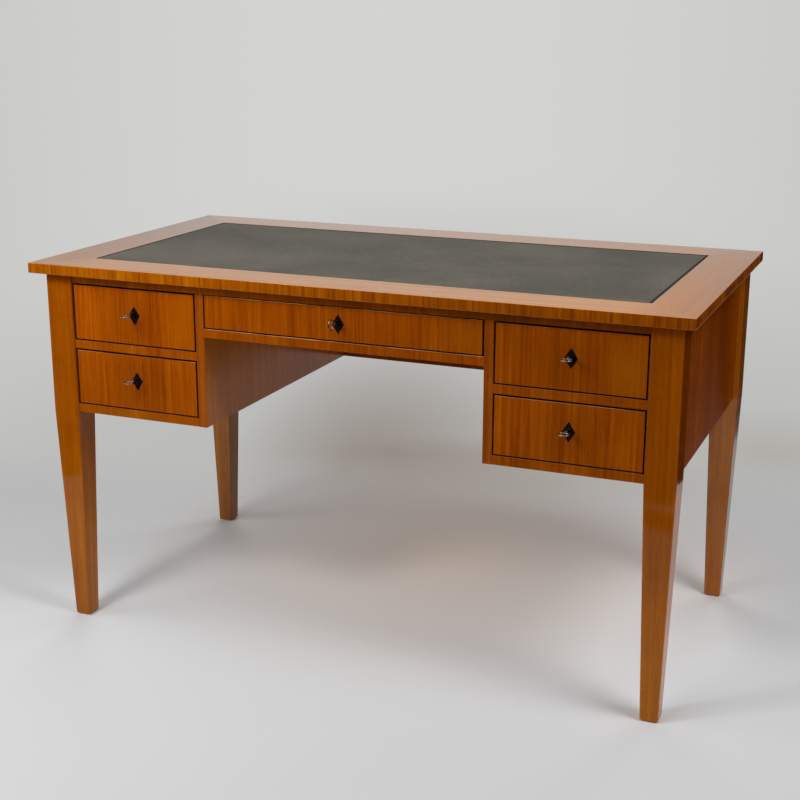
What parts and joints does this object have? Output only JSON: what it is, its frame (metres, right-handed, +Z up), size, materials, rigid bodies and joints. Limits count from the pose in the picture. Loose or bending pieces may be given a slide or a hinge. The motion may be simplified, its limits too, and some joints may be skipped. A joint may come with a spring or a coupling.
{
  "type": "kneehole writing desk",
  "caption": "Kneehole writing desk with drawers in two pedestals and under the top, tapered square legs, keyed drawer locks and a leather writing surface.",
  "frame": {"origin": "on the floor under the middle of the top", "axes": "+X to the sitter's right, +Y to the back of the desk, +Z up"},
  "size_m": [1.3, 0.7094, 0.75],
  "materials": {
    "cherry": "glossy varnished veneer",
    "drawer_wood": "plain waxed wood",
    "leather": "matt grained leather",
    "ebony": "polished black inlay",
    "lock_brass": "dull brass",
    "key_metal": "worn nickel"
  },
  "bodies": {
    "carcass": {"front_left_leg": "cherry", "front_right_leg": "cherry", "rear_left_leg": "cherry", "rear_right_leg": "cherry", "left_side_panel": "cherry", "right_side_panel": "cherry", "left_inner_panel": "cherry", "right_inner_panel": "cherry", "back_panel": "cherry", "top_rail": "cherry", "drawer_rails": "cherry", "bottom_boards": "cherry", "drawer_runners": "drawer_wood", "drawer_guides": "drawer_wood", "drawer_stops": "drawer_wood", "top_panel": "drawer_wood", "top_long_borders": "cherry", "top_end_borders": "cherry", "leather_inlay": "leather", "glue_blocks": "drawer_wood"},
    "left_upper_drawer": {"left_upper_drawer_front": "cherry", "left_upper_drawer_sides": "drawer_wood", "left_upper_drawer_back": "drawer_wood", "left_upper_drawer_bottom": "drawer_wood", "left_upper_escutcheon": "ebony", "left_upper_lock_case": "lock_brass"},
    "left_upper_key": {"left_upper_key": "key_metal"},
    "left_upper_bolt": {"left_upper_lock_bolt": "lock_brass"},
    "left_lower_drawer": {"left_lower_drawer_front": "cherry", "left_lower_drawer_sides": "drawer_wood", "left_lower_drawer_back": "drawer_wood", "left_lower_drawer_bottom": "drawer_wood", "left_lower_escutcheon": "ebony", "left_lower_lock_case": "lock_brass"},
    "left_lower_key": {"left_lower_key": "key_metal"},
    "left_lower_bolt": {"left_lower_lock_bolt": "lock_brass"},
    "centre_drawer": {"centre_drawer_front": "cherry", "centre_drawer_sides": "drawer_wood", "centre_drawer_back": "drawer_wood", "centre_drawer_bottom": "drawer_wood", "centre_escutcheon": "ebony", "centre_lock_case": "lock_brass"},
    "centre_key": {"centre_key": "key_metal"},
    "centre_bolt": {"centre_lock_bolt": "lock_brass"},
    "right_upper_drawer": {"right_upper_drawer_front": "cherry", "right_upper_drawer_sides": "drawer_wood", "right_upper_drawer_back": "drawer_wood", "right_upper_drawer_bottom": "drawer_wood", "right_upper_escutcheon": "ebony", "right_upper_lock_case": "lock_brass"},
    "right_upper_key": {"right_upper_key": "key_metal"},
    "right_upper_bolt": {"right_upper_lock_bolt": "lock_brass"},
    "right_lower_drawer": {"right_lower_drawer_front": "cherry", "right_lower_drawer_sides": "drawer_wood", "right_lower_drawer_back": "drawer_wood", "right_lower_drawer_bottom": "drawer_wood", "right_lower_escutcheon": "ebony", "right_lower_lock_case": "lock_brass"},
    "right_lower_key": {"right_lower_key": "key_metal"},
    "right_lower_bolt": {"right_lower_lock_bolt": "lock_brass"}
  },
  "joints": [
    {"name": "left_upper_drawer_slide", "type": "slide", "parent": "carcass", "child": "left_upper_drawer", "axis": [0, -1, 0], "range_m": [0, 0.4]},
    {"name": "left_upper_key_turn", "type": "hinge", "parent": "left_upper_drawer", "child": "left_upper_key", "pos_m": [-0.43275, -0.319, 0.66068], "axis": [0, 1, 0], "range_deg": [0, 180]},
    {"name": "left_upper_bolt_slide", "type": "slide", "parent": "left_upper_drawer", "child": "left_upper_bolt", "axis": [0, 0, 1], "range_m": [0, 0.009]},
    {"name": "left_lower_drawer_slide", "type": "slide", "parent": "carcass", "child": "left_lower_drawer", "axis": [0, -1, 0], "range_m": [0, 0.4]},
    {"name": "left_lower_key_turn", "type": "hinge", "parent": "left_lower_drawer", "child": "left_lower_key", "pos_m": [-0.43275, -0.319, 0.52992], "axis": [0, 1, 0], "range_deg": [0, 180]},
    {"name": "left_lower_bolt_slide", "type": "slide", "parent": "left_lower_drawer", "child": "left_lower_bolt", "axis": [0, 0, 1], "range_m": [0, 0.009]},
    {"name": "centre_drawer_slide", "type": "slide", "parent": "carcass", "child": "centre_drawer", "axis": [0, -1, 0], "range_m": [0, 0.4]},
    {"name": "centre_key_turn", "type": "hinge", "parent": "centre_drawer", "child": "centre_key", "pos_m": [0, -0.319, 0.6821], "axis": [0, 1, 0], "range_deg": [0, 180]},
    {"name": "centre_bolt_slide", "type": "slide", "parent": "centre_drawer", "child": "centre_bolt", "axis": [0, 0, 1], "range_m": [0, 0.009]},
    {"name": "right_upper_drawer_slide", "type": "slide", "parent": "carcass", "child": "right_upper_drawer", "axis": [0, -1, 0], "range_m": [0, 0.4]},
    {"name": "right_upper_key_turn", "type": "hinge", "parent": "right_upper_drawer", "child": "right_upper_key", "pos_m": [0.43675, -0.319, 0.66068], "axis": [0, 1, 0], "range_deg": [0, 180]},
    {"name": "right_upper_bolt_slide", "type": "slide", "parent": "right_upper_drawer", "child": "right_upper_bolt", "axis": [0, 0, 1], "range_m": [0, 0.009]},
    {"name": "right_lower_drawer_slide", "type": "slide", "parent": "carcass", "child": "right_lower_drawer", "axis": [0, -1, 0], "range_m": [0, 0.4]},
    {"name": "right_lower_key_turn", "type": "hinge", "parent": "right_lower_drawer", "child": "right_lower_key", "pos_m": [0.43675, -0.319, 0.52992], "axis": [0, 1, 0], "range_deg": [0, 180]},
    {"name": "right_lower_bolt_slide", "type": "slide", "parent": "right_lower_drawer", "child": "right_lower_bolt", "axis": [0, 0, 1], "range_m": [0, 0.009]}
  ],
  "couplings": [
    {"joint": "left_upper_bolt_slide", "follows": "left_upper_key_turn", "m_per_rad": 0.00286},
    {"joint": "left_lower_bolt_slide", "follows": "left_lower_key_turn", "m_per_rad": 0.00286},
    {"joint": "centre_bolt_slide", "follows": "centre_key_turn", "m_per_rad": 0.00286},
    {"joint": "right_upper_bolt_slide", "follows": "right_upper_key_turn", "m_per_rad": 0.00286},
    {"joint": "right_lower_bolt_slide", "follows": "right_lower_key_turn", "m_per_rad": 0.00286}
  ]
}
